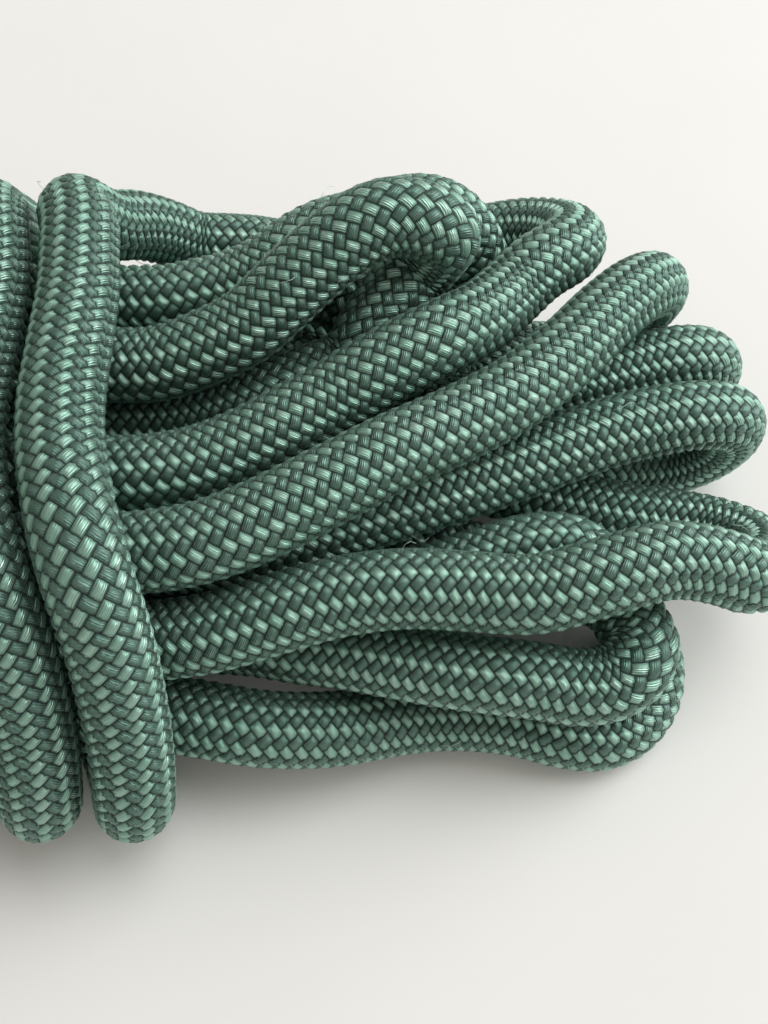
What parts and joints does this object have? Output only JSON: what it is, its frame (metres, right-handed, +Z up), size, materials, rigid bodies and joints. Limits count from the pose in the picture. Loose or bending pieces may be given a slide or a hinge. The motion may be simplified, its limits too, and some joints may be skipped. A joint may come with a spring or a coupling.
{
  "type": "climbing rope",
  "caption": "Braided kernmantle climbing rope put up as a hank of long bights, bound at the waist by its own wraps, with sealed and sleeved ends.",
  "frame": {"origin": "middle of the hank's footprint, on the surface it lies on", "axes": "+X along the hank towards the bights that fan out, +Y away from the side where the first end lies, +Z up"},
  "size_m": [0.2214, 0.1152, 0.054],
  "materials": {
    "sheath": "dark green braided polyamide sheath, satin",
    "core": "undyed twisted core, fused at the cut",
    "sleeve": "shrunk end sleeve, matte black"
  },
  "bodies": {
    "root": {"hank_loops": "sheath", "waist_wraps": "sheath", "start_tail": "sheath", "finish_tail": "sheath", "start_sheath_end": "sheath", "start_core_end": "core", "start_end_sleeve": "sleeve", "finish_sheath_end": "sheath", "finish_core_end": "core", "finish_end_sleeve": "sleeve"}
  },
  "joints": []
}
